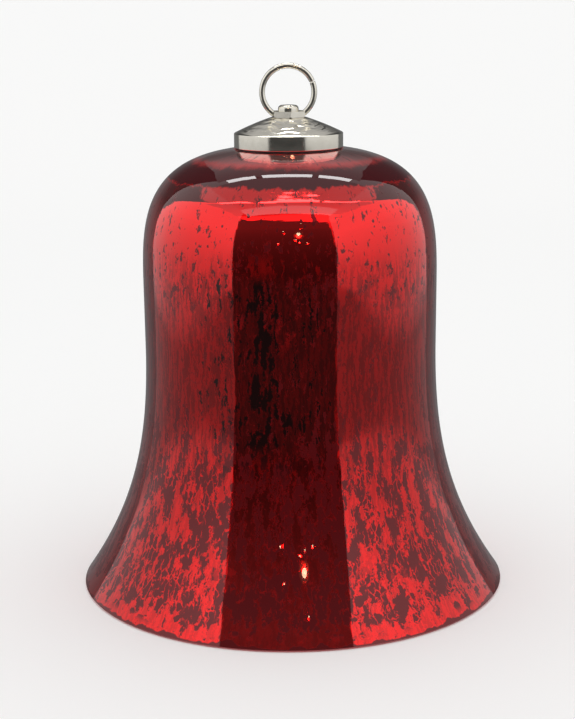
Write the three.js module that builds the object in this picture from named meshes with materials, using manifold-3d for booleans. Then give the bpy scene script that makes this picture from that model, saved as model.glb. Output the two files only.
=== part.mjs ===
// A large mirrored-glass bell ornament: a blown glass bell, open at the mouth, with a pressed metal
// cap on its crown, a hanging ring held by a hex-flanged bolt, and a clapper hung inside.
// Millimetres, +Z up. The origin is on the plane of the ground lip, below the centre of the crown.
// The hanging ring lies in the XZ plane, so a hook passes through it along Y.
import * as THREE from "three";
import { mergeVertices } from "three/addons/utils/BufferGeometryUtils.js";
import Module from "manifold-3d";

const wasm = await Module();
wasm.setup();

// ---- Driving dimensions ----

// Glass bell. The outline runs from the lip up to the seat of the cap.
const LIP_R = 95.25;
const LIP_EDGE = 0.9;
const WAIST_R = 64.8;
const WAIST_Z = 108;
const SHOULDER_R = 64.95;
const SHOULDER_Z = 140;
const SEAT_R = 24;
const SEAT_Z = 195.05;
const GLASS_T = 2.6;
const CROWN_HOLE_R = 6;
const BELL_SIDES = 40;
const OUTLINE_STEPS = 9;

// Cap, a shallow cup of sheet metal with a flat top.
const CAP_R = 23.8;
const CAP_T = 1;
const CAP_BAND_H = 6.3;
const CAP_TOP_Z = 208.5;
const CAP_TOP_R = 7.9;
const CAP_EDGE = 0.5;
const CAP_SIDES = 36;
const GASKET_T = 0.5;

// Hanging ring, a wire ring whose two ends butt together.
const RING_MEAN_R = 11.4;
const WIRE_R = 1.25;
const RING_Z = 219.3;
const RING_SEAM = 23;
const RING_SEAM_GAP = 1.6;
const RING_SLOT_W = 3.6;

// Hanger bolt: a domed end, a thin hex flange and a long shank.
const FLANGE_Z = CAP_TOP_Z + 0.1;
const FLANGE_H = 2.6;
const FLANGE_R = 7.75;
const FLANGE_TURN = 8;
const DOME_R = 4.5;
const DOME_H = 2.6;
const SHANK_R = 4;
const THREAD_R = 3;
const THREAD_Z = 200;
const BOLT_END_Z = 178.5;
const THREAD_BORE_R = 3.2;

// Clamping pieces under the crown, from the glass down.
const BUSH_R = 11;
const BUSH_H = 2;
const WASHER_R = 10;
const WASHER_H = 1.2;
const NUT_FLATS = 10;
const NUT_H = 5;
const STACK_GAP = 0.1;

// Clapper: an eye on the bolt, a link, and a rod that carries a ball.
const EYE_MEAN_R = 4.5;
const EYE_WIRE_R = 1.2;
const EYE_ROOT = 0.6;
const EYE_COLLAR_R = 4.8;
const EYE_COLLAR_H = 8;
const LINK_WIRE_R = 1;
const LINK_ARCH_R = 3.4;
const LINK_PITCH = 15;
const LINK_SEAM_GAP = 0.3;
const LOOP_MEAN_R = 3.5;
const ROD_R = 1.1;
const WIRE_PLAY = 0.3;
const ROD_END_Z = 30.5;
const BALL_R = 11;
const BALL_Z = 46;
const BALL_BORE_R = 1.45;
const STOP_R = 2.6;
const STOP_H = 1.6;

// ---- Places that follow from the dimensions ----

const DEG = Math.PI / 180;
const CROWN_Z = SEAT_Z - GLASS_T;
const CAP_Z = SEAT_Z + GASKET_T;
const RING_HINGE_Z = RING_Z - RING_MEAN_R;
const WASHER_Z = CROWN_Z - STACK_GAP - BUSH_H - WASHER_H;
const NUT_Z = WASHER_Z - STACK_GAP - NUT_H;
const COLLAR_Z = NUT_Z - STACK_GAP - EYE_COLLAR_H;
const EYE_Z = COLLAR_Z - EYE_MEAN_R + EYE_ROOT;
const LINK_HINGE_Z = EYE_Z - EYE_MEAN_R;
const LINK_TOP_Z = LINK_HINGE_Z + EYE_WIRE_R + WIRE_PLAY + LINK_WIRE_R;
const CLAPPER_HINGE_Z = LINK_TOP_Z - LINK_PITCH;
const LOOP_TOP_Z = CLAPPER_HINGE_Z + LINK_WIRE_R + WIRE_PLAY + ROD_R;
const LOOP_Z = LOOP_TOP_Z - LOOP_MEAN_R;

// ---- Helpers ----

const point = (r, z) => new THREE.Vector2(r, z);

// A closed mesh as a solid that can be joined and cut.
function solidOf(geometry) {
  const bare = geometry.clone();
  bare.deleteAttribute("normal");
  bare.deleteAttribute("uv");
  const merged = mergeVertices(bare, 1e-4);
  const vertProperties = merged.attributes.position.array;
  const triVerts = new Uint32Array(merged.index.array);
  return new wasm.Manifold(new wasm.Mesh({ numProp: 3, vertProperties, triVerts }));
}

function geometryOf(solid) {
  const mesh = solid.getMesh();
  const geometry = new THREE.BufferGeometry();
  geometry.setAttribute("position", new THREE.BufferAttribute(mesh.vertProperties, 3));
  geometry.setIndex(new THREE.BufferAttribute(mesh.triVerts, 1));
  geometry.computeVertexNormals();
  return geometry;
}

// A profile of (radius, height) points, counter-clockwise, turned round the Z axis.
function turned(points, sides) {
  return new THREE.LatheGeometry(points, sides).rotateX(Math.PI / 2);
}

// A round bar or tube between two heights; a bore of 0 leaves it solid.
function roundBar(radius, low, high, sides, bore = 0) {
  const profile = [point(bore, low), point(radius, low), point(radius, high), point(bore, high)];
  if (bore > 0) profile.push(profile[0].clone());
  return turned(profile, sides);
}

// A hexagonal prism with one corner towards +X before it is turned.
function hexPrism(cornerR, low, height, turn, bore = 0) {
  const corners = [];
  for (let i = 0; i < 6; i++) {
    const angle = (turn + 60 * i) * DEG;
    corners.push(point(cornerR * Math.cos(angle), cornerR * Math.sin(angle)));
  }
  const outline = new THREE.Shape(corners);
  if (bore > 0) outline.holes.push(new THREE.Path().absarc(0, 0, bore, 0, 2 * Math.PI, true));
  const options = { depth: height, bevelEnabled: false, curveSegments: 12 };
  return new THREE.ExtrudeGeometry(outline, options).translate(0, 0, low);
}

// A wire of round section along a curve. An open curve gets flat ends.
function wire(curve, radius, steps, sides) {
  const section = new THREE.Shape();
  section.absarc(0, 0, radius, 0, 2 * Math.PI, false);
  const options = { steps, curveSegments: sides / 2, extrudePath: curve, bevelEnabled: false };
  return new THREE.ExtrudeGeometry(section, options);
}

// A wire ring standing in the XZ plane.
function uprightRing(meanR, wireR, z, sides, around) {
  return new THREE.TorusGeometry(meanR, wireR, sides, around).rotateX(Math.PI / 2).translate(0, 0, z);
}

const assembly = new THREE.Group();

function add(name, geometry, color, roughness, metalness) {
  const material = new THREE.MeshStandardMaterial({ color, roughness, metalness });
  const mesh = new THREE.Mesh(geometry, material);
  mesh.name = name;
  assembly.add(mesh);
}

const NICKEL = 0xbdb8ac;
const STEEL = 0x8f8f8c;
const RUBBER = 0x1c1a19;
const addNickel = (name, geometry) => add(name, geometry, NICKEL, 0.2, 1);
const addSteel = (name, geometry) => add(name, geometry, STEEL, 0.35, 1);
const addRubber = (name, geometry) => add(name, geometry, RUBBER, 0.8, 0);

// ---- Glass bell ----

// The outer outline from the lip to the cap's seat: a flare, a nearly straight waist and a round shoulder.
function bellOutline() {
  const lip = point(LIP_R, LIP_EDGE);
  const waist = point(WAIST_R, WAIST_Z);
  const shoulder = point(SHOULDER_R, SHOULDER_Z);
  const seat = point(SEAT_R, SEAT_Z);
  const flare = new THREE.CubicBezierCurve(lip, point(70.3, 36.7), point(WAIST_R, 68.5), waist);
  const round = new THREE.CubicBezierCurve(shoulder, point(SHOULDER_R, 165), point(63, 190.8), seat);
  return [...flare.getSpacedPoints(OUTLINE_STEPS), ...round.getSpacedPoints(OUTLINE_STEPS)];
}

// The same outline moved inwards by the wall's thickness, at right angles to the wall.
function insetOutline(outer, inset) {
  return outer.map((here, i) => {
    const before = outer[Math.max(i - 1, 0)];
    const after = outer[Math.min(i + 1, outer.length - 1)];
    const along = after.clone().sub(before).normalize();
    return point(here.x - along.y * inset, here.y + along.x * inset);
  });
}

function glassBell() {
  const outer = bellOutline();
  const inner = insetOutline(outer, GLASS_T).slice(1, -1).reverse();
  const lipInner = LIP_R - 2 * LIP_EDGE - GLASS_T + 0.8;
  const profile = [
    point(LIP_R - LIP_EDGE, 0),
    ...outer,
    point(CROWN_HOLE_R, SEAT_Z),
    point(CROWN_HOLE_R, CROWN_Z),
    point(SEAT_R - 1, CROWN_Z),
    ...inner,
    point(lipInner, 0),
    point(LIP_R - LIP_EDGE, 0),
  ];
  return turned(profile, BELL_SIDES);
}
add("glass_bell", glassBell(), 0xb30a16, 0.08, 0.6);

// ---- Cap and its gasket ----

const gasket = roundBar(CAP_R - 0.5, SEAT_Z, CAP_Z, CAP_SIDES, CAP_R - 4);
addRubber("crown_gasket", gasket);

// A band that rises straight, then a slightly convex cone up to a flat top, all in sheet metal.
function capProfile() {
  const bandTop = CAP_Z + CAP_BAND_H;
  const innerR = CAP_R - CAP_T;
  const coneFoot = point(CAP_R - CAP_EDGE, bandTop + 0.2);
  const coneBulge = point(15.6, 205.9);
  const coneTop = point(CAP_TOP_R, CAP_TOP_Z);
  const cone = new THREE.QuadraticBezierCurve(coneFoot, coneBulge, coneTop).getPoints(4);
  const underside = cone.slice(1).map((p) => point(p.x - 0.4 * CAP_T, p.y - CAP_T));
  return [
    point(0, CAP_TOP_Z - CAP_T),
    ...underside.reverse(),
    point(innerR, bandTop - CAP_T),
    point(innerR, CAP_Z),
    point(CAP_R - CAP_EDGE, CAP_Z),
    point(CAP_R, CAP_Z + CAP_EDGE),
    point(CAP_R, bandTop - CAP_EDGE),
    ...cone,
    point(0, CAP_TOP_Z),
  ];
}

// The lowest part of the ring dips through a slot across the cap's flat top.
function cap() {
  const blank = solidOf(turned(capProfile(), CAP_SIDES));
  const hole = solidOf(roundBar(SHANK_R + 0.3, CAP_Z, CAP_TOP_Z + 5, 24));
  const slotBox = new THREE.BoxGeometry(14.6, RING_SLOT_W, 8).translate(0, 0, CAP_TOP_Z);
  return geometryOf(blank.subtract(hole).subtract(solidOf(slotBox)));
}
addNickel("cap", cap());

// ---- Hanger bolt ----

function hangerBolt() {
  const flangeTop = FLANGE_Z + FLANGE_H;
  const domeTop = flangeTop + DOME_H;
  const core = [
    point(0, BOLT_END_Z),
    point(THREAD_R - 0.6, BOLT_END_Z),
    point(THREAD_R, BOLT_END_Z + 0.8),
    point(THREAD_R, THREAD_Z),
    point(SHANK_R, THREAD_Z),
    point(SHANK_R, FLANGE_Z + 1),
    point(DOME_R, FLANGE_Z + 1),
    point(DOME_R, flangeTop + 0.9),
    point(DOME_R - 0.5, domeTop - 0.7),
    point(DOME_R - 1.5, domeTop),
    point(0, domeTop),
  ];
  const flange = hexPrism(FLANGE_R, FLANGE_Z, FLANGE_H, FLANGE_TURN - 90);
  const blank = solidOf(turned(core, 24)).add(solidOf(flange));
  // The ring passes through a cross slot under the flange and up through a notch in each side of it.
  const hole = new THREE.CylinderGeometry(RING_SLOT_W / 2, RING_SLOT_W / 2, 20, 16);
  hole.rotateZ(Math.PI / 2).scale(1, 1, 1.25).translate(0, 0, RING_HINGE_Z + 0.2);
  const notch = new THREE.BoxGeometry(6, RING_SLOT_W, FLANGE_H + 4);
  let bolt = blank.subtract(solidOf(hole));
  for (const side of [-1, 1]) {
    const place = notch.clone().translate(side * (DOME_R + 0.2 + 3), 0, FLANGE_Z + FLANGE_H / 2);
    bolt = bolt.subtract(solidOf(place));
  }
  return geometryOf(bolt);
}
addNickel("hanger_bolt", hangerBolt());

// ---- Hanging ring ----

// The butt joint is up on the ring's +X side.
function hangingRing() {
  const start = (RING_SEAM + RING_SEAM_GAP / 2) * DEG;
  const sweep = (360 - RING_SEAM_GAP) * DEG;
  const path = new THREE.Curve();
  path.getPoint = (t) => {
    const angle = start + sweep * t;
    return new THREE.Vector3(
      RING_MEAN_R * Math.cos(angle),
      0,
      RING_Z + RING_MEAN_R * Math.sin(angle),
    );
  };
  return wire(path, WIRE_R, 40, 10);
}
addNickel("hanging_ring", hangingRing());

// ---- Clamping pieces under the crown ----

// A rubber bush with a flange keeps the metal off the glass, in the hole and under the crown.
function rubberBush() {
  const top = CROWN_Z - STACK_GAP;
  const sleeveR = CROWN_HOLE_R - 0.3;
  const profile = [
    point(THREAD_BORE_R, top - BUSH_H),
    point(BUSH_R, top - BUSH_H),
    point(BUSH_R, top),
    point(sleeveR, top),
    point(sleeveR, SEAT_Z),
    point(THREAD_BORE_R, SEAT_Z),
    point(THREAD_BORE_R, top - BUSH_H),
  ];
  return turned(profile, 28);
}
addRubber("rubber_bush", rubberBush());
addSteel("inner_washer", roundBar(WASHER_R, WASHER_Z, WASHER_Z + WASHER_H, 28, THREAD_BORE_R));
addSteel("lock_nut", hexPrism(NUT_FLATS / Math.sqrt(3), NUT_Z, NUT_H, 0, THREAD_BORE_R));

// ---- Clapper ----

// A collar screwed on the end of the bolt, with an eye under it.
function clapperEye() {
  const boreTop = BOLT_END_Z - 0.5;
  const profile = [
    point(0, COLLAR_Z),
    point(EYE_COLLAR_R - 1.2, COLLAR_Z),
    point(EYE_COLLAR_R, COLLAR_Z + 1.6),
    point(EYE_COLLAR_R, COLLAR_Z + EYE_COLLAR_H),
    point(THREAD_BORE_R, COLLAR_Z + EYE_COLLAR_H),
    point(THREAD_BORE_R, boreTop),
    point(0, boreTop),
  ];
  const eye = uprightRing(EYE_MEAN_R, EYE_WIRE_R, EYE_Z, 10, 28);
  return geometryOf(solidOf(turned(profile, 24)).add(solidOf(eye)));
}
addSteel("clapper_eye", clapperEye());

// A long link standing in the YZ plane, bent from wire that butts together on one straight side.
function clapperLink() {
  const halfStraight = LINK_PITCH / 2 - LINK_ARCH_R;
  const middle = LINK_TOP_Z - LINK_PITCH / 2;
  const points = [new THREE.Vector3(0, LINK_ARCH_R, middle + LINK_SEAM_GAP / 2)];
  for (const end of [1, -1]) {
    for (let i = 0; i <= 8; i++) {
      const angle = (Math.PI * i) / 8;
      const y = end * LINK_ARCH_R * Math.cos(angle);
      const z = middle + end * (halfStraight + LINK_ARCH_R * Math.sin(angle));
      points.push(new THREE.Vector3(0, y, z));
    }
  }
  points.push(new THREE.Vector3(0, LINK_ARCH_R, middle - LINK_SEAM_GAP / 2));
  return wire(new THREE.CatmullRomCurve3(points), LINK_WIRE_R, 36, 8);
}
addSteel("clapper_link", clapperLink());

// A rod with a loop at its top and a collar that the ball seats on.
function clapperRod() {
  const loop = uprightRing(LOOP_MEAN_R, ROD_R, LOOP_Z, 8, 24);
  const collarZ = BALL_Z + BALL_R + 0.1;
  const profile = [
    point(0, ROD_END_Z),
    point(ROD_R, ROD_END_Z),
    point(ROD_R, collarZ),
    point(2.2, collarZ),
    point(2.2, collarZ + 1.5),
    point(ROD_R, collarZ + 2.2),
    point(ROD_R, LOOP_Z - LOOP_MEAN_R),
    point(0, LOOP_Z - LOOP_MEAN_R),
  ];
  return geometryOf(solidOf(turned(profile, 12)).add(solidOf(loop)));
}
addSteel("clapper_rod", clapperRod());

function clapperBall() {
  const start = Math.asin(BALL_BORE_R / BALL_R);
  const steps = 10;
  const profile = [];
  for (let i = 0; i <= steps; i++) {
    const angle = start + ((Math.PI - 2 * start) * i) / steps;
    profile.push(point(BALL_R * Math.sin(angle), BALL_Z - BALL_R * Math.cos(angle)));
  }
  profile.push(profile[0].clone());
  return turned(profile, 24);
}
addNickel("clapper_ball", clapperBall());

// A round nut on the rod's end holds the ball up.
const stopTop = BALL_Z - BALL_R - 0.1;
addNickel("clapper_nut", roundBar(STOP_R, stopTop - STOP_H, stopTop, 16, ROD_R + 0.25));

export default assembly;
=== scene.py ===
import math

import bmesh
import bpy
from mathutils import Matrix, Vector


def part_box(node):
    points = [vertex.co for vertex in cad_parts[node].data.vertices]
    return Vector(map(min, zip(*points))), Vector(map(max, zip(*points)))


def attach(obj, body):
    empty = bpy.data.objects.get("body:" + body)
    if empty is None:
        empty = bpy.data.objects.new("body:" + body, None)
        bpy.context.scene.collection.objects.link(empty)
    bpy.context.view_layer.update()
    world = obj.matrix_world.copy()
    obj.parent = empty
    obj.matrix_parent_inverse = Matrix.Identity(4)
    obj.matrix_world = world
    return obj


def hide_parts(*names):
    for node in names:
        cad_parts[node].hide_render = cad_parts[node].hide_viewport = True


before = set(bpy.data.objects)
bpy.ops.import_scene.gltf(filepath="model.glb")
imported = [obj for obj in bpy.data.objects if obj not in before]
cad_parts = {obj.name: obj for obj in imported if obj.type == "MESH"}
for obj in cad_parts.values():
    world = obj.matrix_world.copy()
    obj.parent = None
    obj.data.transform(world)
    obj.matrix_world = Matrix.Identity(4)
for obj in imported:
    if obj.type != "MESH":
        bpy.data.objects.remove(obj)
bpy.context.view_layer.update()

MM = 0.001


# ---- Places from the CAD, in millimetres ----


def low(node):
    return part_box(node)[0] / MM


def high(node):
    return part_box(node)[1] / MM


# ---- Mesh helpers ----


def finish_mesh(name, bm, materials, body, nodes, sharp=32):
    bmesh.ops.recalc_face_normals(bm, faces=bm.faces)
    mesh = bpy.data.meshes.new(name)
    bm.to_mesh(mesh)
    bm.free()
    made = bpy.data.objects.new(name, mesh)
    bpy.context.scene.collection.objects.link(made)
    for material in materials:
        mesh.materials.append(material)
    mesh.shade_smooth()
    mesh.set_sharp_from_angle(angle=math.radians(sharp))
    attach(made, body)
    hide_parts(*nodes)
    return made


def rounded(corners, steps=4):
    """Turns (r, z) or (r, z, radius) corners into points, with an arc of that radius at each such corner."""
    points = []
    for i, corner in enumerate(corners):
        here = Vector(corner[:2])
        if len(corner) == 2:
            points.append(here)
            continue
        to_last = (Vector(corners[i - 1][:2]) - here).normalized()
        to_next = (Vector(corners[(i + 1) % len(corners)][:2]) - here).normalized()
        half = to_last.angle(to_next) / 2
        reach = corner[2] / math.tan(half)
        first, last, weight = here + to_last * reach, here + to_next * reach, math.sin(half)
        for k in range(steps + 1):
            t = k / steps
            a, b, c = (1 - t) ** 2, 2 * t * (1 - t) * weight, t * t
            points.append((first * a + here * b + last * c) / (a + b + c))
    return points


def lathe(points, segments, zones=None, bm=None):
    """Turns a closed profile of (r, z) points round the Z axis. zones gives a material number per edge."""
    bm = bm or bmesh.new()
    rings = []
    for r, z in points:
        if r < 1e-6:
            rings.append([bm.verts.new((0, 0, z * MM))])
            continue
        angles = (2 * math.pi * k / segments for k in range(segments))
        rings.append([bm.verts.new((r * math.cos(a) * MM, r * math.sin(a) * MM, z * MM)) for a in angles])
    for i, ring in enumerate(rings):
        other = rings[(i + 1) % len(rings)]
        if len(ring) == 1 and len(other) == 1:
            continue
        for k in range(segments):
            n = (k + 1) % segments
            corners = [ring[k % len(ring)], other[k % len(other)], other[n % len(other)], ring[n % len(ring)]]
            face = bm.faces.new(list(dict.fromkeys(corners)))
            face.material_index = zones[i] if zones else 0
    return bm


def wire(path, radius, sides, across, closed=False, bm=None):
    """Sweeps a round wire along a flat path of Vectors in mm. across is the normal of the path's plane.
    An open wire's ends are slightly rounded."""
    bm = bm or bmesh.new()
    across = Vector(across)
    count = len(path)
    stations = []
    for i, here in enumerate(path):
        before = path[i - 1] if closed or i else here
        after = path[(i + 1) % count] if closed or i < count - 1 else here
        stations.append((here, (after - before).normalized(), radius))
    if not closed:
        ease = radius * 0.25
        for end, side in ((0, 1), (-1, -1)):
            here, along, _ = stations[end]
            inner = (here + along * side * ease, along, radius)
            outer = (here, along, radius - ease)
            stations[end] = inner
            stations.insert(0 if end == 0 else len(stations), outer)
    rings = []
    for here, along, size in stations:
        out = across.cross(along).normalized()
        ring = []
        for k in range(sides):
            a = 2 * math.pi * k / sides
            ring.append(bm.verts.new((here + (out * math.cos(a) + across * math.sin(a)) * size) * MM))
        rings.append(ring)
    for i in range(len(rings) if closed else len(rings) - 1):
        one, two = rings[i], rings[(i + 1) % len(rings)]
        for k in range(sides):
            n = (k + 1) % sides
            bm.faces.new((one[k], one[n], two[n], two[k]))
    if not closed:
        bm.faces.new(rings[0])
        bm.faces.new(rings[-1])
    return bm


def box_mesh(centre, size):
    bm = bmesh.new()
    bmesh.ops.create_cube(bm, size=1, matrix=Matrix.Translation(Vector(centre) * MM))
    for vert in bm.verts:
        middle = Vector(centre) * MM
        vert.co = middle + Vector((vert.co - middle)[k] * size[k] * MM for k in range(3))
    return bm


def hexagon(corner_r, bottom, top, turn):
    """A hexagonal prism with one corner at turn degrees from +X."""
    bm = bmesh.new()
    rings = []
    for z in (bottom, top):
        angles = [math.radians(turn + 60 * k) for k in range(6)]
        spots = [(corner_r * math.cos(a) * MM, corner_r * math.sin(a) * MM, z * MM) for a in angles]
        rings.append([bm.verts.new(spot) for spot in spots])
    for k in range(6):
        n = (k + 1) % 6
        bm.faces.new((rings[0][k], rings[0][n], rings[1][n], rings[1][k]))
    bm.faces.new(rings[0])
    bm.faces.new(rings[1])
    return bm


def combine(bm, *steps):
    """Joins, cuts or intersects bm with other solids. Each step is (operation, solid)."""

    def held(solid):
        bmesh.ops.recalc_face_normals(solid, faces=solid.faces)
        mesh = bpy.data.meshes.new("solid")
        solid.to_mesh(mesh)
        solid.free()
        holder = bpy.data.objects.new("solid", mesh)
        bpy.context.scene.collection.objects.link(holder)
        return holder

    base = held(bm)
    tools = []
    for operation, solid in steps:
        tool = held(solid)
        tools.append(tool)
        modifier = base.modifiers.new("cut", "BOOLEAN")
        modifier.operation = operation
        modifier.solver = "EXACT"
        modifier.object = tool
    evaluated = base.evaluated_get(bpy.context.evaluated_depsgraph_get())
    result = bmesh.new()
    result.from_mesh(evaluated.to_mesh())
    evaluated.to_mesh_clear()
    for holder in (base, *tools):
        mesh = holder.data
        bpy.data.objects.remove(holder)
        bpy.data.meshes.remove(mesh)
    bmesh.ops.remove_doubles(result, verts=result.verts, dist=1e-7)
    return result


# ---- Node helpers ----


def node(tree, kind, inputs=None, **settings):
    """Adds a shader node. inputs maps a socket's name or number to a value or to another node's socket."""
    made = tree.nodes.new("ShaderNode" + kind)
    for name, value in settings.items():
        setattr(made, name, value)
    for key, value in (inputs or {}).items():
        if isinstance(value, bpy.types.NodeSocket):
            tree.links.new(value, made.inputs[key])
        else:
            made.inputs[key].default_value = value
    return made


def maths(tree, operation, a, b=0.0, c=0.0):
    return node(tree, "Math", {0: a, 1: b, 2: c}, operation=operation).outputs[0]


def vector(tree, operation, a, b):
    return node(tree, "VectorMath", {0: a, 1: b}, operation=operation).outputs[0]


def steps_between(tree, value, start, end, low_out=0.0, high_out=1.0, smooth=True):
    kind = "SMOOTHSTEP" if smooth else "LINEAR"
    inputs = {"Value": value, "From Min": start, "From Max": end, "To Min": low_out, "To Max": high_out}
    return node(tree, "MapRange", inputs, interpolation_type=kind).outputs["Result"]


def mix(tree, factor, a, b):
    """Mixes two colours or two numbers, by what a is."""
    number = isinstance(a, (int, float)) or getattr(a, "type", "") == "VALUE"
    made = tree.nodes.new("ShaderNodeMix")
    made.data_type = "FLOAT" if number else "RGBA"
    keys = (0, 2, 3) if number else (0, 6, 7)
    for key, value in zip(keys, (factor, a, b)):
        if isinstance(value, bpy.types.NodeSocket):
            tree.links.new(value, made.inputs[key])
        else:
            made.inputs[key].default_value = value if key == 0 or number else (*value, 1.0)
    return made.outputs[0 if number else 2]


def noise(tree, where, scale, detail=2.0, rough=0.5, warp=0.0, output="Fac"):
    inputs = {"Vector": where, "Scale": scale, "Detail": detail, "Roughness": rough, "Distortion": warp}
    return node(tree, "TexNoise", inputs).outputs[output]


def stretched(tree, where, x, y, z, offset=0.0):
    """where, scaled along each axis and moved by offset so that each use draws other spots."""
    inputs = {"Vector": where, "Scale": (x, y, z), "Location": (offset, offset, offset)}
    return node(tree, "Mapping", inputs).outputs["Vector"]


def new_material(name):
    """An empty material with a Principled shader. Returns the material, its tree and the shader."""
    material = bpy.data.materials.new(name)
    material.use_nodes = True
    tree = material.node_tree
    tree.nodes.clear()
    shader = tree.nodes.new("ShaderNodeBsdfPrincipled")
    output = tree.nodes.new("ShaderNodeOutputMaterial")
    tree.links.new(shader.outputs[0], output.inputs[0])
    return material, tree, shader


def drive(tree, shader, **values):
    """Sets or links the shader's inputs, named with _ for spaces."""
    for key, value in values.items():
        socket = shader.inputs[key.replace("_", " ")]
        if isinstance(value, bpy.types.NodeSocket):
            tree.links.new(value, socket)
        else:
            socket.default_value = value


# ---- Mirrored glass ----

MIRROR_RED = (0.88, 0.006, 0.006)
DULL_RED = (0.60, 0.004, 0.004)
THIN_RED = (0.34, 0.003, 0.003)
# Bare glass red: partly the glass's own dark red, partly painted light, as its diffuse red stands in for
# light shining through the glass from inside the bell.
BARE_GLASS_RED_AND_GLOW = (0.130, 0.004, 0.006)
BLACK_RED = (0.010, 0.0005, 0.0005)
CROWN_RED = (0.055, 0.006, 0.008)
STREAK_R = 65
DARK_RUNS_AT = (-0.012, -0.064, 0.0)


def streak_space(tree):
    """The place on the glass: (x, y) on a cylinder of the waist's radius, and the length up the outline."""
    return node(tree, "Attribute", attribute_name="streak_space").outputs["Vector"]


def over(tree, value, limit, soft):
    """1 where value passes limit, with an edge about soft wide."""
    return steps_between(tree, maths(tree, "SUBTRACT", value, limit), -soft, soft)


def cells(tree, where, across, along, offset):
    """The place in units of spots across mm wide and along mm long."""
    return stretched(tree, where, 1 / (across * MM), 1 / (across * MM), 1 / (along * MM), offset)


def both(tree, a, b):
    return maths(tree, "MULTIPLY", a, b)


def either(tree, a, b):
    return maths(tree, "MAXIMUM", a, b)


def without(tree, a, b):
    return both(tree, a, maths(tree, "SUBTRACT", 1.0, b))


def band(tree, value, start, full, end, gone):
    """Rises from start to full and falls from end to gone."""
    rise = steps_between(tree, value, start, full)
    return both(tree, rise, steps_between(tree, value, end, gone, 1.0, 0.0))


def droplets(tree, where, across, along, least, most, offset):
    """Round spots of random sizes, one in each cell; least and most are shares of a cell."""
    spot = node(tree, "TexVoronoi", {"Vector": cells(tree, where, across, along, offset), "Scale": 1.0})
    pick = node(tree, "SeparateColor", {"Color": spot.outputs["Color"]}).outputs[0]
    size = steps_between(tree, pick, 0.0, 1.0, least, most, False)
    return over(tree, size, spot.outputs["Distance"], 0.025)


def threads(tree, where, across, along, width, offset):
    """Thin lines between neighbouring cells, left where two droplets met."""
    inputs = {"Vector": cells(tree, where, across, along, offset), "Scale": 1.0}
    edge = node(tree, "TexVoronoi", inputs, feature="DISTANCE_TO_EDGE").outputs["Distance"]
    return steps_between(tree, edge, width * 0.4, width, 1.0, 0.0)


def wavering(tree, where):
    """where, pushed about by a millimetre or so, so that no edge is straight."""
    push = noise(tree, where, 420, 3.0, 0.6, output="Color")
    push = vector(tree, "SUBTRACT", push, (0.5, 0.5, 0.5))
    return vector(tree, "ADD", where, vector(tree, "MULTIPLY", push, (0.0022, 0.0022, 0.0035)))


def etching(tree):
    """How the silvering is etched: (thin, bare, black), each from 0 to 1. thin is fibres up to the shoulder,
    bare is runs, droplets and specks, and black is the dark runs on the waist."""
    plain = streak_space(tree)
    where = wavering(tree, plain)
    parts = node(tree, "SeparateXYZ", {"Vector": plain})
    length = parts.outputs["Z"]
    # Runs on the flare: dense from the lip up, thinning out towards the waist.
    run = noise(tree, cells(tree, where, 3.8, 13, 3.0), 1.0, 5.0, 0.66)
    near_lip = steps_between(tree, length, 0.003, 0.012, 0.14, 0.0)
    up_waist = steps_between(tree, length, 0.060, 0.112, 0.0, 0.15)
    cover = maths(tree, "ADD", maths(tree, "ADD", near_lip, up_waist), 0.468)
    runs = over(tree, run, cover, 0.014)
    # Droplets just above the lip, and pinheads that fade out half way up.
    low_gate = band(tree, length, 0.002, 0.006, 0.018, 0.040)
    beads = both(tree, droplets(tree, where, 4.2, 5.2, 0.10, 0.52, 7.0), low_gate)
    pins = droplets(tree, where, 1.7, 2.6, -0.25, 0.22, 13.0)
    pins = both(tree, pins, steps_between(tree, length, 0.09, 0.13, 1.0, 0.0))
    line_gate = over(tree, noise(tree, cells(tree, where, 6, 10, 31.0), 1.0, 2.0), 0.50, 0.04)
    lines = both(tree, threads(tree, where, 2.1, 7.0, 0.075, 17.0), line_gate)
    bare = without(tree, either(tree, either(tree, runs, beads), pins), lines)
    # Irregular specks round the shoulder, more of them lower down.
    speck = noise(tree, cells(tree, where, 3.0, 5.5, 23.0), 1.0, 4.0, 0.62)
    speck_cover = steps_between(tree, length, 0.146, 0.186, 0.590, 0.650)
    specks = both(tree, over(tree, speck, speck_cover, 0.014), band(tree, length, 0.118, 0.146, 0.192, 0.200))
    small_gate = band(tree, length, 0.130, 0.150, 0.180, 0.195)
    small = both(tree, droplets(tree, where, 2.6, 3.8, -0.40, 0.30, 29.0), small_gate)
    bare = either(tree, bare, either(tree, specks, small))
    # A wavy bare edge at the lip.
    rim = noise(tree, cells(tree, plain, 5.5, 400, 41.0), 1.0, 3.0)
    rim_limit = steps_between(tree, rim, 0.40, 0.70, 0.0006, 0.0034, False)
    below_rim = maths(tree, "SUBTRACT", rim_limit, length)
    bare = either(tree, bare, steps_between(tree, below_rim, -0.0002, 0.0002))
    # Fine fibres, thinner silver rather than bare glass.
    fibre = noise(tree, cells(tree, where, 1.3, 11, 11.0), 1.0, 4.0, 0.62)
    thin = over(tree, fibre, 0.50, 0.06)
    thin = both(tree, thin, steps_between(tree, length, 0.146, 0.166, 1.0, 0.0))
    # Dark runs on the waist, thickest down its front and just left of the middle.
    front = vector(tree, "SUBTRACT", plain, DARK_RUNS_AT)
    front = vector(tree, "MULTIPLY", front, (1, 1, 0))
    aside = node(tree, "VectorMath", {0: front}, operation="LENGTH").outputs["Value"]
    near = steps_between(tree, aside, 0.001, 0.009, 0.125, 0.015)
    heavy = maths(tree, "ADD", near, steps_between(tree, aside, 0.020, 0.040, 0.0, -0.14))
    dark = noise(tree, cells(tree, where, 2.3, 9, 37.0), 1.0, 5.0, 0.65)
    dark = over(tree, dark, maths(tree, "SUBTRACT", 0.585, heavy), 0.02)
    black = both(tree, dark, band(tree, length, 0.062, 0.085, 0.150, 0.166))
    return thin, bare, black


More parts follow.
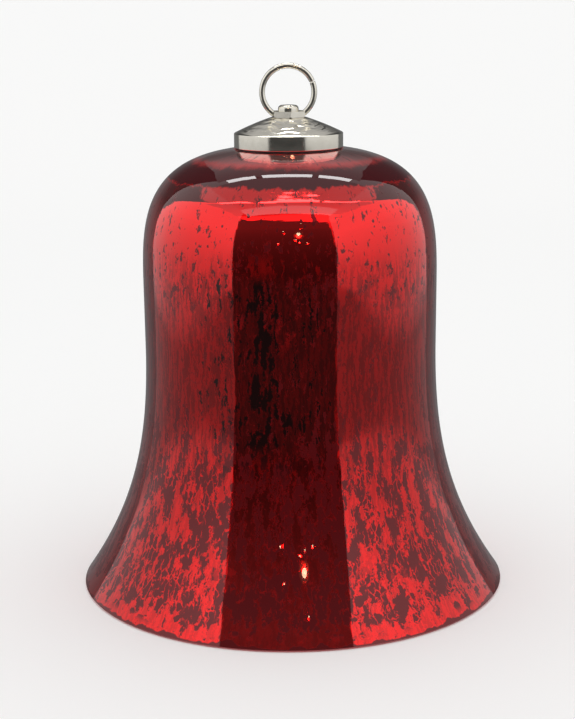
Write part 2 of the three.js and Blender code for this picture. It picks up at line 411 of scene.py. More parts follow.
def silver_tilt(tree):
    """The silvered inner face leans further back than the outer one where the shoulder's wall thickens."""
    place = node(tree, "NewGeometry")
    height = node(tree, "SeparateXYZ", {"Vector": place.outputs["Position"]}).outputs["Z"]
    share = steps_between(tree, height, 0.160, 0.190, 0.0, 1.0, False)
    curve = tree.nodes.new("ShaderNodeFloatCurve")
    shape = curve.mapping.curves[0].points
    shape[0].location, shape[1].location = (0, 0), (1, 0.30)
    low_part = ((0.267, 0.04), (0.367, 0.09), (0.467, 0.14), (0.513, 0.20), (0.553, 0.34), (0.587, 0.58))
    high_part = ((0.617, 0.80), (0.65, 0.85), (0.70, 0.76), (0.767, 0.64), (0.833, 0.50))
    for spot in low_part + high_part:
        shape.new(*spot)
    curve.mapping.update()
    tree.links.new(share, curve.inputs["Value"])
    # The thickening is uneven, in long waves round the shoulder.
    wave = noise(tree, cells(tree, streak_space(tree), 26, 3.2, 5.0), 1.0, 3.0, 0.55)
    uneven = steps_between(tree, wave, 0.3, 0.7, 0.90, 1.10, False)
    lean = both(tree, curve.outputs[0], uneven)
    swirl = noise(tree, cells(tree, streak_space(tree), 30, 2.4, 67.0), 1.0, 3.0, 0.55)
    swirl = steps_between(tree, swirl, 0.3, 0.7, -0.07, 0.07, False)
    lean = maths(tree, "ADD", lean, both(tree, swirl, band(tree, height, 0.165, 0.170, 0.178, 0.186)))
    upward = node(tree, "CombineXYZ", {"Z": lean}).outputs[0]
    leaning = vector(tree, "ADD", place.outputs["Normal"], upward)
    return node(tree, "VectorMath", {0: leaning}, operation="NORMALIZE").outputs[0]


def unsilvered_crown(tree):
    """1 where the silvering has run off the crown's slope, with a wavy lower border."""
    where = streak_space(tree)
    length = node(tree, "SeparateXYZ", {"Vector": where}).outputs["Z"]
    wave = noise(tree, cells(tree, where, 9, 16, 61.0), 1.0, 6.0, 0.68)
    moved = maths(tree, "ADD", length, steps_between(tree, wave, 0.3, 0.7, -0.0022, 0.0022, False))
    return band(tree, moved, 0.1904, 0.1920, 0.2020, 0.2100)


def mirrored_glass():
    material, tree, shader = new_material("mirrored_red_glass")
    where = streak_space(tree)
    length = node(tree, "SeparateXYZ", {"Vector": where}).outputs["Z"]
    thin, bare, black = etching(tree)
    # The waist's silver is duller, in soft clouds.
    cloud = noise(tree, cells(tree, where, 9, 30, 47.0), 1.0, 4.0, 0.6)
    waist = band(tree, length, 0.066, 0.092, 0.132, 0.158)
    dull = both(tree, waist, steps_between(tree, cloud, 0.3, 0.7, 0.55, 1.0, False))
    colour = mix(tree, dull, MIRROR_RED, DULL_RED)
    colour = mix(tree, both(tree, thin, steps_between(tree, length, 0.05, 0.10, 0.35, 0.9)), colour, THIN_RED)
    # Bare glass: its own red plus painted glow standing in for light coming through from inside.
    colour = mix(tree, bare, colour, BARE_GLASS_RED_AND_GLOW)
    colour = mix(tree, black, colour, BLACK_RED)
    crown = unsilvered_crown(tree)
    colour = mix(tree, crown, colour, CROWN_RED)
    metal = maths(tree, "SUBTRACT", 1.0, both(tree, either(tree, bare, black), 0.5))
    metal = without(tree, metal, crown)
    ripple = noise(tree, cells(tree, where, 14, 34, 53.0), 1.0, 2.0)
    grain = noise(tree, cells(tree, where, 1.6, 9, 59.0), 1.0, 3.0)
    height = maths(tree, "ADD", ripple, both(tree, grain, 0.07))
    uneven = {"Strength": 0.30, "Distance": 0.001, "Height": height, "Normal": silver_tilt(tree)}
    bump = node(tree, "Bump", uneven)
    rough = steps_between(tree, grain, 0.3, 0.7, 0.02, 0.06, False)
    drive(tree, shader, Base_Color=colour, Metallic=metal, Roughness=rough, Normal=bump.outputs[0])
    drive(tree, shader, Specular_IOR_Level=0.0)
    drive(tree, shader, Coat_Weight=1.0, Coat_IOR=1.46, Coat_Roughness=0.008)
    outer = node(tree, "Bump", {"Strength": 0.08, "Distance": 0.001, "Height": ripple})
    drive(tree, shader, Coat_Normal=outer.outputs[0])
    return material


def mirror_back():
    """The silvering seen from inside the bell, with red glass showing where it is etched away."""
    material, tree, shader = new_material("mirror_back")
    where = streak_space(tree)
    thin, bare, black = etching(tree)
    bare = either(tree, bare, black)
    bare = either(tree, bare, either(tree, both(tree, thin, 0.35), unsilvered_crown(tree)))
    mottle = noise(tree, stretched(tree, where, 300, 300, 120), 1.0, 4.0, 0.6)
    silver = mix(tree, mottle, (0.50, 0.48, 0.46), (0.72, 0.70, 0.67))
    colour = mix(tree, bare, silver, (0.20, 0.006, 0.012))
    rough = steps_between(tree, mottle, 0.2, 0.8, 0.22, 0.42, False)
    drive(tree, shader, Base_Color=colour, Metallic=mix(tree, bare, 0.95, 0.0), Roughness=rough)
    return material


def lip_glass():
    """Ground glass on the lip and in the crown's hole. Its pale pink is partly the frosted glass and partly
    painted highlight along the lip's edge.
    """
    material, tree, shader = new_material("ground_glass_and_highlight")
    place = node(tree, "TexCoord").outputs["Object"]
    frost = noise(tree, place, 2600, 3.0)
    # Pale pink: frosted glass tone plus a painted highlight of the lip edge.
    colour = mix(tree, frost, (0.26, 0.035, 0.038), (0.44, 0.085, 0.085))
    bump = node(tree, "Bump", {"Strength": 0.3, "Distance": 0.0001, "Height": frost})
    drive(tree, shader, Base_Color=colour, Roughness=0.38, Normal=bump.outputs[0])
    drive(tree, shader, Coat_Weight=0.4, Coat_Roughness=0.12)
    return material


# ---- Metal and rubber ----


def turning_lines(tree, fineness):
    """Fine rings round the Z axis, as turning and polishing leave."""
    place = node(tree, "TexCoord").outputs["Object"]
    parts = node(tree, "SeparateXYZ", {"Vector": place})
    x, y = parts.outputs["X"], parts.outputs["Y"]
    squares = maths(tree, "ADD", maths(tree, "MULTIPLY", x, x), maths(tree, "MULTIPLY", y, y))
    spot = {"X": maths(tree, "SQRT", squares), "Y": parts.outputs["Z"], "Z": maths(tree, "MULTIPLY", x, 0.02)}
    flat = node(tree, "CombineXYZ", spot)
    return noise(tree, flat.outputs[0], fineness, 3.0, 0.6)


def spun_ripples(tree):
    """Shallow uneven ridges round the cap's cone, left by spinning it over a former."""
    place = node(tree, "TexCoord").outputs["Object"]
    parts = node(tree, "SeparateXYZ", {"Vector": place})
    across = node(tree, "CombineXYZ", {"X": parts.outputs["X"], "Y": parts.outputs["Y"]}).outputs[0]
    radius = node(tree, "VectorMath", {0: across}, operation="LENGTH").outputs["Value"]
    drift = noise(tree, across, 80, 2.0)
    phase = maths(tree, "ADD", maths(tree, "MULTIPLY", radius, 1500), maths(tree, "MULTIPLY", drift, 22))
    ridge = maths(tree, "SINE", phase)
    dents = noise(tree, stretched(tree, place, 130, 130, 60, 3.0), 1.0, 3.0)
    ripples = maths(tree, "ADD", maths(tree, "MULTIPLY", ridge, 0.34), maths(tree, "MULTIPLY", dents, 0.8))
    on_cone = steps_between(tree, radius, 0.0222, 0.0195)
    deeper_inward = steps_between(tree, radius, 0.0, 0.0195, 1.25, 0.45)
    return both(tree, ripples, both(tree, on_cone, deeper_inward))


def nickel(name, rough=0.16, lines=4200, ripples=False):
    """Nickel plate: warm grey, polished in rings, with faint clouding and a few fine scratches."""
    material, tree, shader = new_material(name)
    place = node(tree, "TexCoord").outputs["Object"]
    rings = turning_lines(tree, lines)
    cloud = noise(tree, place, 260, 4.0, 0.6)
    slanted = {"Vector": place, "Rotation": (0.4, 0.9, 0.3), "Scale": (2500, 160, 160)}
    scratch_place = node(tree, "Mapping", slanted).outputs[0]
    scratch = steps_between(tree, noise(tree, scratch_place, 1.0, 2.0), 0.66, 0.72)
    colour = mix(tree, cloud, (0.70, 0.665, 0.58), (0.86, 0.825, 0.74))
    worn = steps_between(tree, cloud, 0.25, 0.75, rough * 0.75, rough * 1.35, False)
    height = maths(tree, "SUBTRACT", rings, maths(tree, "MULTIPLY", scratch, 0.4))
    bump = node(tree, "Bump", {"Strength": 0.10, "Distance": 0.0001, "Height": height})
    if ripples:
        uneven = node(tree, "Bump", {"Strength": 1.0, "Distance": 0.0005, "Height": spun_ripples(tree)})
        tree.links.new(uneven.outputs[0], bump.inputs["Normal"])
    drive(tree, shader, Base_Color=colour, Metallic=1.0, Roughness=worn, Normal=bump.outputs[0])
    return material


def zinc_steel():
    """Zinc-plated steel: cooler and duller, with a mottled plate."""
    material, tree, shader = new_material("zinc_steel")
    place = node(tree, "TexCoord").outputs["Object"]
    mottle = noise(tree, place, 420, 5.0, 0.65)
    grain = noise(tree, place, 3200, 2.0)
    colour = mix(tree, mottle, (0.40, 0.41, 0.42), (0.60, 0.61, 0.62))
    rough = steps_between(tree, mottle, 0.2, 0.8, 0.28, 0.46, False)
    bump = node(tree, "Bump", {"Strength": 0.2, "Distance": 0.0001, "Height": grain})
    drive(tree, shader, Base_Color=colour, Metallic=1.0, Roughness=rough, Normal=bump.outputs[0])
    return material


def rubber():
    """Black rubber, matt, with a fine grain and a little dust."""
    material, tree, shader = new_material("black_rubber")
    place = node(tree, "TexCoord").outputs["Object"]
    grain = noise(tree, place, 3000, 3.0)
    dust = steps_between(tree, noise(tree, place, 300, 4.0), 0.5, 0.8)
    colour = mix(tree, dust, (0.012, 0.011, 0.011), (0.05, 0.047, 0.045))
    bump = node(tree, "Bump", {"Strength": 0.4, "Distance": 0.0001, "Height": grain})
    drive(tree, shader, Base_Color=colour, Roughness=0.72, Normal=bump.outputs[0])
    return material


GLASS = [mirrored_glass(), mirror_back(), lip_glass()]
NICKEL = nickel("nickel_turned")
NICKEL_WIRE = nickel("nickel_wire", 0.10, 900)
NICKEL_CAP = nickel("nickel_spun", 0.115, 5200, True)
STEEL = zinc_steel()
RUBBER = rubber()


# ---- Glass bell ----

GLASS_T = 2.6
LIP_EASE = 0.9
SEAT_R = 24
HOLE_R = 6
SEAT_Z = high("glass_bell").z
LIP_R = high("glass_bell").x
FLARE = [(LIP_R, LIP_EASE), (70.3, 36.7), (64.8, 68.5), (64.8, 108)]
SHOULDER = [(64.95, 140), (64.95, 165), (63, 190.8), (SEAT_R, SEAT_Z)]


def bezier(control, steps):
    """Evenly spaced points on a cubic curve, with the outward normal at each."""
    a, b, c, d = (Vector(p) for p in control)
    fine = []
    for k in range(401):
        t = k / 400
        u = 1 - t
        spot = a * u**3 + b * 3 * u * u * t + c * 3 * u * t * t + d * t**3
        slope = (b - a) * u * u + (c - b) * 2 * u * t + (d - c) * t * t
        fine.append((spot, Vector((slope.y, -slope.x)).normalized()))
    lengths = [0.0]
    for last, here in zip(fine, fine[1:]):
        lengths.append(lengths[-1] + (here[0] - last[0]).length)
    picked = []
    for k in range(steps + 1):
        goal = lengths[-1] * k / steps
        picked.append(fine[min(range(401), key=lambda i: abs(lengths[i] - goal))])
    return picked


def glass_bell():
    outer = bezier(FLARE, 64) + bezier(SHOULDER, 72)
    ground = Vector((LIP_R - LIP_EASE, 0))
    profile = [(ground, -LIP_EASE, 2)]
    length = 0.0
    last = outer[0][0]
    for spot, _ in outer:
        length += (spot - last).length
        last = spot
        profile.append((spot, length, 0))
    seat = length + SEAT_R - HOLE_R
    profile[-1] = (last, length, 2)
    profile.append((Vector((HOLE_R + 0.4, SEAT_Z)), seat - 0.4, 2))
    profile.append((Vector((HOLE_R, SEAT_Z - 0.4)), seat, 2))
    profile.append((Vector((HOLE_R, SEAT_Z - GLASS_T + 0.4)), seat, 2))
    profile.append((Vector((HOLE_R + 0.4, SEAT_Z - GLASS_T)), seat, 1))
    profile.append((Vector((SEAT_R - 1, SEAT_Z - GLASS_T)), length, 1))
    for (spot, normal), (_, along, _) in reversed(list(zip(outer, profile[1:]))[2:-2]):
        profile.append((spot - normal * GLASS_T, along, 1))
    profile[-1] = (*profile[-1][:2], 2)
    profile.append((Vector((LIP_R - 2 * LIP_EASE - GLASS_T + 0.8, 0)), -LIP_EASE, 2))
    segments = 256
    bm = lathe([p[0] for p in profile], segments, [p[2] for p in profile])
    made = finish_mesh("mirrored_bell", bm, GLASS, "bell", ["glass_bell"], 40)
    where = made.data.attributes.new("streak_space", "FLOAT_VECTOR", "POINT")
    for i, (_, along, _) in enumerate(profile):
        for k in range(segments):
            angle = 2 * math.pi * k / segments
            place = (STREAK_R * math.cos(angle) * MM, STREAK_R * math.sin(angle) * MM, along * MM)
            where.data[i * segments + k].vector = place
    return made


glass_bell()


# ---- Cap and gasket ----

CAP_T = 1.0
CAP_BAND_H = 6.3
CAP_TOP_R = 7.9
CONE_BULGE = (15.6, 205.9)
SLOT_W = 3.6
SHANK_R = 4
CAP_R = high("cap").x
CAP_Z = low("cap").z
CAP_TOP = high("cap").z
BAND_TOP = CAP_Z + CAP_BAND_H


def cone_line(steps):
    """The cap's slightly convex cone, from the band up to the flat top."""
    foot = Vector((CAP_R - 0.35, BAND_TOP + 0.2))
    bulge = Vector(CONE_BULGE)
    top = Vector((CAP_TOP_R, CAP_TOP))
    points = []
    for k in range(steps + 1):
        t = k / steps
        points.append(foot * (1 - t) ** 2 + bulge * 2 * t * (1 - t) + top * t * t)
    return points


def cap():
    cone = cone_line(14)
    inside = [p + Vector((-0.4 * CAP_T, -CAP_T)) for p in reversed(cone[1:])]
    inner_r = CAP_R - CAP_T
    corners = [(inner_r, CAP_Z, 0.3), (CAP_R, CAP_Z, 0.45), (CAP_R, BAND_TOP - 0.1, 0.3)]
    corners += cone + [(0, CAP_TOP), (0, CAP_TOP - CAP_T)] + inside + [(inner_r, BAND_TOP - CAP_T)]
    hole = lathe([(0, CAP_Z), (SHANK_R + 0.3, CAP_Z), (SHANK_R + 0.3, CAP_TOP + 5), (0, CAP_TOP + 5)], 48)
    slot = box_mesh((0, 0, CAP_TOP), (14.6, SLOT_W, 8))
    bm = combine(lathe(rounded(corners, 5), 144), ("DIFFERENCE", hole), ("DIFFERENCE", slot))
    return finish_mesh("pressed_cap", bm, [NICKEL_CAP], "bell", ["cap"])


cap()


def gasket():
    bottom, top, outer = low("crown_gasket").z, high("crown_gasket").z, high("crown_gasket").x
    inner = outer - 3.5
    ease = 0.12
    corners = [(inner, bottom, ease), (outer, bottom, ease), (outer, top, ease), (inner, top, ease)]
    bm = lathe(rounded(corners, 3), 144)
    return finish_mesh("cap_gasket", bm, [RUBBER], "bell", ["crown_gasket"])


gasket()


# ---- Hanger bolt and ring ----

FLANGE_H = 2.6
FLANGE_R = 7.75
FLANGE_TURN = 8
DOME_R = 4.5
THREAD_R = 3
THREAD_TOP = 200
PITCH = 1.0
WIRE_R = 1.25
RING_SEAM = 23
RING_GAP = 0.8
DOME_TOP = high("hanger_bolt").z
BOLT_END = low("hanger_bolt").z
FLANGE_Z = CAP_TOP + 0.1
FLANGE_TOP = FLANGE_Z + FLANGE_H


def screw_thread(radius, bottom, top, pitch, depth, sides=40):
    """A rod with a real helical thread, tapered at its lower end."""
    bm = bmesh.new()
    steps = round((top - bottom) / pitch * 6)
    rings = []
    for i in range(steps + 1):
        z = bottom + (top - bottom) * i / steps
        ring = []
        for k in range(sides):
            angle = 2 * math.pi * k / sides
            phase = (z / pitch - k / sides) % 1
            groove = depth * abs(2 * phase - 1)
            ease = min(1.0, (z - bottom) / 0.8)
            r = (radius - groove) * ease + (radius - depth) * (1 - ease)
            ring.append(bm.verts.new((r * math.cos(angle) * MM, r * math.sin(angle) * MM, z * MM)))
        rings.append(ring)
    for one, two in zip(rings, rings[1:]):
        for k in range(sides):
            n = (k + 1) % sides
            bm.faces.new((one[k], one[n], two[n], two[k]))
    bm.faces.new(rings[0])
    bm.faces.new(rings[-1])
    return bm


def hanger_bolt():
    core = [(0, THREAD_TOP - 1), (THREAD_R - 0.5, THREAD_TOP - 1), (SHANK_R, THREAD_TOP, 0.2)]
    core += [(SHANK_R, FLANGE_Z + 1), (DOME_R, FLANGE_Z + 1), (DOME_R, DOME_TOP, 1.6), (0, DOME_TOP)]
    flange = hexagon(FLANGE_R, FLANGE_Z, FLANGE_TOP, FLANGE_TURN - 90)
    ease = 0.55
    bevelled = [(0, FLANGE_Z), (FLANGE_R - ease, FLANGE_Z), (FLANGE_R + 0.15, FLANGE_Z + 0.35)]
    bevelled += [(FLANGE_R + 0.15, FLANGE_TOP - 0.35), (FLANGE_R - ease, FLANGE_TOP), (0, FLANGE_TOP)]
    flange = combine(flange, ("INTERSECT", lathe(bevelled, 96)))
    thread = screw_thread(THREAD_R, BOLT_END, THREAD_TOP - 0.5, PITCH, 0.45)
    wide = SLOT_W + 0.5
    hole = lathe([(0, -10), (wide / 2, -10), (wide / 2, 10), (0, 10)], 48)
    hinge = RING_MIDDLE - RING_R + 0.2
    place = Matrix.Translation((0, 0, hinge * MM)) @ Matrix.Diagonal((1, 1, 1.25, 1))
    bmesh.ops.transform(hole, matrix=place @ Matrix.Rotation(math.pi / 2, 4, "Y"), verts=hole.verts)
    steps = [("UNION", flange), ("UNION", thread), ("DIFFERENCE", hole)]
    for side in (-1, 1):
        notch = box_mesh((side * (DOME_R + 3.1), 0, FLANGE_Z + FLANGE_H / 2), (6.2, wide, FLANGE_H + 4))
        steps.append(("DIFFERENCE", notch))
    bm = combine(lathe(rounded(core, 6), 64), *steps)
    return finish_mesh("hanger_bolt_fine", bm, [NICKEL], "bell", ["hanger_bolt"], 28)


RING_OUT = (high("hanging_ring").z - low("hanging_ring").z) / 2
RING_R = RING_OUT - WIRE_R
RING_MIDDLE = high("hanging_ring").z - RING_OUT


def hanging_ring():
    path = []
    start = RING_SEAM + RING_GAP / 2
    sweep = 360 - RING_GAP
    for k in range(145):
        angle = math.radians(start + sweep * k / 144)
        path.append(Vector((RING_R * math.cos(angle), 0, RING_MIDDLE + RING_R * math.sin(angle))))
    bm = wire(path, WIRE_R, 32, (0, 1, 0))
    return finish_mesh("wire_ring", bm, [NICKEL_WIRE], "ring", ["hanging_ring"], 45)


hanger_bolt()
hanging_ring()


# ---- Clamping stack under the crown ----

BORE_R = 3.2


def bush():
    bottom, top, outer = low("rubber_bush").z, high("rubber_bush").z, high("rubber_bush").x
    corners = [(BORE_R, bottom, 0.2), (outer, bottom, 0.5), (outer, bottom + 2, 0.5)]
    corners += [(HOLE_R - 0.3, bottom + 2, 0.2), (HOLE_R - 0.3, top, 0.2), (BORE_R, top, 0.2)]
    bm = lathe(rounded(corners, 4), 96)
    return finish_mesh("crown_bush", bm, [RUBBER], "bell", ["rubber_bush"])


def washer():
    bottom, top, outer = low("inner_washer").z, high("inner_washer").z, high("inner_washer").x
    ease = 0.25
    corners = [(BORE_R, bottom, ease), (outer, bottom, ease), (outer, top, ease), (BORE_R, top, ease)]
    bm = lathe(rounded(corners, 4), 96)
    return finish_mesh("steel_washer", bm, [STEEL], "bell", ["inner_washer"])


def lock_nut():
    bottom, top = low("lock_nut").z, high("lock_nut").z
    corner_r = high("lock_nut").x
    flats_r = corner_r * math.cos(math.pi / 6)
    slope = 0.55
    outline = [(0, bottom), (flats_r - 0.1, bottom), (corner_r + 0.1, bottom + slope)]
    outline += [(corner_r + 0.1, top - slope), (flats_r - 0.1, top), (0, top)]
    bore = [(0, bottom - 1), (BORE_R + 1.5, bottom - 1), (BORE_R, bottom + 0.5), (BORE_R, top - 0.5)]
    bore += [(BORE_R + 1.5, top + 1), (0, top + 1)]
    body = hexagon(corner_r, bottom, top, 0)
    bm = combine(body, ("INTERSECT", lathe(outline, 96)), ("DIFFERENCE", lathe(bore, 64)))
    return finish_mesh("hex_nut", bm, [STEEL], "bell", ["lock_nut"], 24)


bush()
washer()
lock_nut()


# ---- Clapper ----

EYE_MEAN_R = 4.5
EYE_WIRE_R = 1.2
LINK_WIRE_R = 1.0
LINK_ARCH_R = 3.4
LOOP_R = 3.5
ROD_R = 1.1


def circle(middle_z, radius, steps):
    """Points on an upright circle in the XZ plane."""
    angles = (2 * math.pi * k / steps for k in range(steps))
    return [Vector((radius * math.cos(a), 0, middle_z + radius * math.sin(a))) for a in angles]


def clapper_eye():
    bottom, top, outer = low("clapper_eye").z, high("clapper_eye").z, 4.8
    collar = top - 8
    inside = BOLT_END - 0.5
    corners = [(0, collar), (outer - 1.2, collar, 0.4), (outer, collar + 1.6, 0.5), (outer, top, 0.35)]
    corners += [(BORE_R, top, 0.2), (BORE_R, inside), (0, inside)]
    eye = wire(circle(bottom + EYE_MEAN_R + EYE_WIRE_R, EYE_MEAN_R, 72), EYE_WIRE_R, 24, (0, 1, 0), True)
    bm = combine(lathe(rounded(corners, 5), 64), ("UNION", eye))
    return finish_mesh("eye_collar", bm, [STEEL], "bell", ["clapper_eye"])


def clapper_link():
    top = high("clapper_link").z - LINK_WIRE_R
    bottom = low("clapper_link").z + LINK_WIRE_R
    middle = (top + bottom) / 2
    straight = (top - bottom) / 2 - LINK_ARCH_R
    gap = 0.15
    path = [Vector((0, LINK_ARCH_R, middle + gap))]
    for end in (1, -1):
        for k in range(25):
            angle = math.pi * k / 24
            y = end * LINK_ARCH_R * math.cos(angle)
            z = middle + end * (straight + LINK_ARCH_R * math.sin(angle))
            path.append(Vector((0, y, z)))
    path.append(Vector((0, LINK_ARCH_R, middle - gap)))
    bm = wire(path, LINK_WIRE_R, 24, (1, 0, 0))
    return finish_mesh("wire_link", bm, [STEEL], "link", ["clapper_link"], 45)


def clapper_rod():
    top, bottom = high("clapper_rod").z, low("clapper_rod").z
    loop_z = top - ROD_R - LOOP_R
    collar = high("clapper_ball").z + 0.1
    # One wire: straight up, out to one side, and round into a loop that closes on the neck.
    neck = Vector((0, 0, loop_z - LOOP_R - 3.2))
    join = Vector((LOOP_R * math.cos(math.radians(215)), 0, loop_z + LOOP_R * math.sin(math.radians(215))))
    path = [Vector((0, 0, bottom)), Vector((0, 0, collar)), neck + Vector((0, 0, -2))]
    lean = Vector((math.sin(math.radians(215)), 0, -math.cos(math.radians(215))))
    for k in range(13):
        t = k / 12
        u = 1 - t
        spots_on = (neck, neck + Vector((0, 0, 1.8)), join - lean * 1.2, join)
        shares = (u**3, 3 * u * u * t, 3 * u * t * t, t**3)
        path.append(sum((p * s for p, s in zip(spots_on, shares)), Vector()))
    for k in range(1, 61):
        angle = math.radians(215 - 290 * k / 60)
        path.append(Vector((LOOP_R * math.cos(angle), 0, loop_z + LOOP_R * math.sin(angle))))
    rod = wire(path, ROD_R, 24, (0, 1, 0))
    ring = [(ROD_R - 0.5, collar), (2.2, collar, 0.2), (2.2, collar + 1.7, 0.4), (ROD_R - 0.5, collar + 2.2)]
    bm = combine(rod, ("UNION", lathe(rounded(ring, 4), 48)))
    return finish_mesh("clapper_wire", bm, [STEEL], "clapper", ["clapper_rod"], 40)


def clapper_ball():
    bottom, top = low("clapper_ball").z, high("clapper_ball").z
    radius, middle, bore = high("clapper_ball").x, (bottom + top) / 2, 1.45
    start = math.asin(bore / radius)
    profile = []
    for k in range(49):
        angle = start + (math.pi - 2 * start) * k / 48
        profile.append(Vector((radius * math.sin(angle), middle - radius * math.cos(angle))))
    bm = lathe(profile, 96)
    return finish_mesh("striker_ball", bm, [NICKEL], "clapper", ["clapper_ball"])


def clapper_nut():
    bottom, top, outer = low("clapper_nut").z, high("clapper_nut").z, high("clapper_nut").x
    bore = ROD_R + 0.25
    corners = [(bore, bottom, 0.1), (outer, bottom, 0.45), (outer, top, 0.25), (bore, top, 0.1)]
    bm = lathe(rounded(corners, 4), 48)
    return finish_mesh("stop_nut", bm, [NICKEL], "clapper", ["clapper_nut"])


clapper_eye()
clapper_link()
clapper_rod()
clapper_ball()
clapper_nut()


# ---- Camera, at the photo's angle ----

CAMERA_AT = (-0.00147, -0.6988, 0.25785)
CAMERA_DOWN = 12.69
CAMERA_ROLL = -0.592
CAMERA_LENS = 79.75


def place_camera():
    data = bpy.data.cameras.new("camera")
    data.lens = CAMERA_LENS
    data.sensor_width = 36
    camera = bpy.data.objects.new("camera", data)
    bpy.context.scene.collection.objects.link(camera)
    pitch = Matrix.Rotation(math.radians(90 - CAMERA_DOWN), 4, "X")
    roll = Matrix.Rotation(math.radians(CAMERA_ROLL), 4, "Z")
    camera.matrix_world = Matrix.Translation(CAMERA_AT) @ pitch @ roll
    bpy.context.scene.camera = camera


place_camera()


# ---- Studio: a pale floor, and soft panels that only show as reflections ----


def stage_mesh(name, bm, material):
    mesh = bpy.data.meshes.new(name)
    bm.to_mesh(mesh)
    bm.free()
    mesh.materials.append(material)
    made = bpy.data.objects.new(name, mesh)
    bpy.context.scene.collection.objects.link(made)
    return made


def glow(name, stops, axis="Z", colour=(1, 1, 1)):
    """An emission material. stops are (place in metres along the axis, radiance), lowest first."""
    material = bpy.data.materials.new(name)
    material.use_nodes = True
    tree = material.node_tree
    tree.nodes.clear()
    place = node(tree, "NewGeometry").outputs["Position"]
    along = node(tree, "SeparateXYZ", {"Vector": place}).outputs[axis]
    strength = stops[0][1]
    for (start, low_out), (end, high_out) in zip(stops, stops[1:]):
        rise = steps_between(tree, along, start, end, 0.0, high_out - low_out, False)
        strength = maths(tree, "ADD", strength, rise)
    light = node(tree, "Emission", {"Color": (*colour, 1), "Strength": strength})
    node(tree, "OutputMaterial", {"Surface": light.outputs[0]})
    return material


def panel(name, corners, material):
    """A flat panel that the object's gloss sees and nothing else does."""
    bm = bmesh.new()
    bm.faces.new([bm.verts.new(c) for c in corners])
    made = stage_mesh(name, bm, material)
    made.visible_camera = False
    made.visible_diffuse = False
    made.visible_transmission = False
    made.visible_shadow = False
    return made


def lamp(name, x, height, radius, material, ahead=0.01):
    """A small round lamp just in front of the front card."""
    corners = []
    for k in range(16):
        angle = 2 * math.pi * k / 16
        corners.append((x + radius * math.cos(angle), FRONT_Y + ahead, height + radius * math.sin(angle)))
    panel(name, corners, material)


FRONT_Y = -0.95
ROOF_Z = 0.9
SIDE_X = 0.6


def studio_panels():
    top, back, floor, roof_front, roof_back = 1.6, 0.46, -0.6, -0.80, 0.19
    stops = [(-0.05, 0.29), (-0.005, 0.33), (0.022, 0.58), (0.06, 0.60)]
    stops += [(0.12, 0.66), (0.21, 0.80), (0.32, 0.93), (0.50, 1.06)]
    wall = glow("wall_glow", stops)
    for x, front in ((-SIDE_X, -0.655), (SIDE_X, -0.87)):
        corners = [(x, front, floor), (x, back, floor), (x, back, top), (x, front, top)]
        panel("side_panel_" + ("left" if x < 0 else "right"), corners, wall)
    roof = glow("roof_glow", [(-0.57, 2.4), (-0.53, 0.9), (0.2, 0.6)], "Y")
    z = ROOF_Z
    corners = [(-SIDE_X, roof_front, z), (SIDE_X, roof_front, z)]
    corners += [(SIDE_X, roof_back, z), (-SIDE_X, roof_back, z)]
    panel("roof_panel", corners, roof)
    stops = [(-0.10, 0.080), (0.0, 0.070), (0.08, 0.045), (0.20, 0.055), (0.45, 0.09), (0.80, 0.15)]
    dark = glow("dark_card", stops)
    wide = 1.6
    corners = [(-wide, FRONT_Y, floor), (wide, FRONT_Y, floor), (wide, FRONT_Y, z), (-wide, FRONT_Y, z)]
    panel("front_card", corners, dark)
    corners = [(-wide, FRONT_Y, z), (wide, FRONT_Y, z), (wide, roof_front, z), (-wide, roof_front, z)]
    panel("front_valance", corners, dark)
    rear = glow("rear_glow", [(0.4, 0.10), (0.8, 0.50), (1.6, 0.50)])
    outline = [(-0.12, 0.3), (0.12, 0.3), (0.42, 0.95), (0.42, 2.4), (-0.42, 2.4), (-0.42, 0.95)]
    panel("rear_panel", [(x, 0.7, height) for x, height in outline], rear)
    panel("rear_roof", [(-0.46, 0.28, z), (0.46, 0.28, z), (0.40, 0.66, z), (-0.40, 0.66, z)], rear)
    strip = glow("strip_glow", [(0, 11.0), (1, 11.0)])
    for k, (start, end) in enumerate(((-0.375, -0.175), (-0.14, 0.12), (0.155, 0.375))):
        corners = [(start, 0.19, z), (end, 0.19, z), (end, 0.272, z), (start, 0.272, z)]
        panel(f"strip_{k}", [(x, y, height - 0.01) for x, y, height in corners], strip)
    warm = glow("lamp_glow", [(0, 26.0), (1, 26.0)], colour=(1.0, 0.72, 0.45))
    halo = glow("halo_glow", [(0, 0.5), (1, 0.5)], colour=(1.0, 0.72, 0.45))
    lamp("lamp_halo", 0.116, 0.505, 0.055, halo, 0.005)
    lamp("lamp_main", 0.116, 0.505, 0.026, warm)
    small = [(-0.093, 0.556), (-0.137, 0.381), (0.211, 0.378), (0.153, 0.719), (0.128, 0.394), (0.075, 0.42)]
    for k, (x, height) in enumerate(small):
        lamp(f"lamp_{k}", x, height, 0.006, warm)


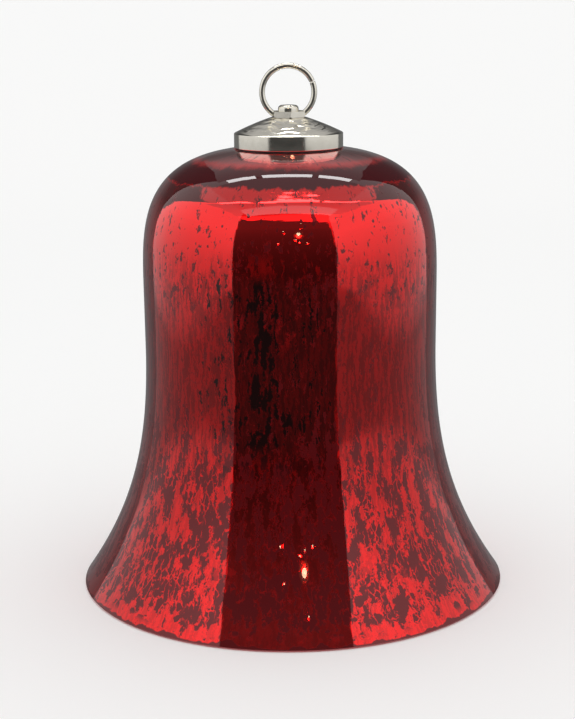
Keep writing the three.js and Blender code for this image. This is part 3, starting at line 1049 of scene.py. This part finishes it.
def pale_floor():
    """A round floor that curves up into a wall all round. From below it can be looked through."""
    bm = bmesh.new()
    rings = []
    profile = [(0.0, 0.0), (0.4, 0.0), (1.2, 0.0)]
    for k in range(1, 17):
        angle = math.pi / 2 * k / 16
        profile.append((1.2 + 0.9 * math.sin(angle), 0.9 - 0.9 * math.cos(angle)))
    profile.append((2.1, 3.0))
    for r, z in profile:
        count = 1 if r == 0 else 96
        angles = (2 * math.pi * k / 96 for k in range(count))
        rings.append([bm.verts.new((r * math.cos(a), r * math.sin(a), z)) for a in angles])
    for one, two in zip(rings, rings[1:]):
        for k in range(96):
            n = (k + 1) % 96
            corners = [one[k % len(one)], two[k], two[n], one[n % len(one)]]
            bm.faces.new(list(dict.fromkeys(corners)))
    for face in bm.faces:
        face.smooth = True
    material, tree, shader = new_material("pale_floor")
    drive(tree, shader, Base_Color=(0.93, 0.93, 0.925, 1), Roughness=0.9, Specular_IOR_Level=0.1)
    # From below the floor isn't there, so that the bell's inside can be looked at.
    from_below = node(tree, "NewGeometry").outputs["Backfacing"]
    clear = node(tree, "BsdfTransparent").outputs[0]
    surface = node(tree, "MixShader", {0: from_below, 1: shader.outputs[0], 2: clear})
    output = next(n for n in tree.nodes if n.bl_idname == "ShaderNodeOutputMaterial")
    tree.links.new(surface.outputs[0], output.inputs[0])
    made = stage_mesh("floor", bm, material)
    made.visible_glossy = False
    made.visible_diffuse = False
    made.visible_shadow = False


def soft_world():
    """Even white light on everything that isn't glossy; reflections see a dim grey room."""
    world = bpy.data.worlds.new("soft_world")
    bpy.context.scene.world = world
    world.use_nodes = True
    tree = world.node_tree
    tree.nodes.clear()
    glossy = node(tree, "LightPath").outputs["Is Glossy Ray"]
    upward = node(tree, "SeparateXYZ", {"Vector": node(tree, "TexCoord").outputs["Generated"]}).outputs["Z"]
    dim = steps_between(tree, upward, 0.05, 0.40, 0.17, 0.07)
    room = node(tree, "Background", {"Color": (0.96, 0.98, 1.0, 1), "Strength": dim})
    light = node(tree, "Background", {"Color": (1, 1, 1, 1), "Strength": 1.02})
    surface = node(tree, "MixShader", {0: glossy, 1: light.outputs[0], 2: room.outputs[0]})
    node(tree, "OutputWorld", {"Surface": surface.outputs[0]})


studio_panels()
pale_floor()
soft_world()
bpy.context.scene.view_settings.view_transform = "Standard"
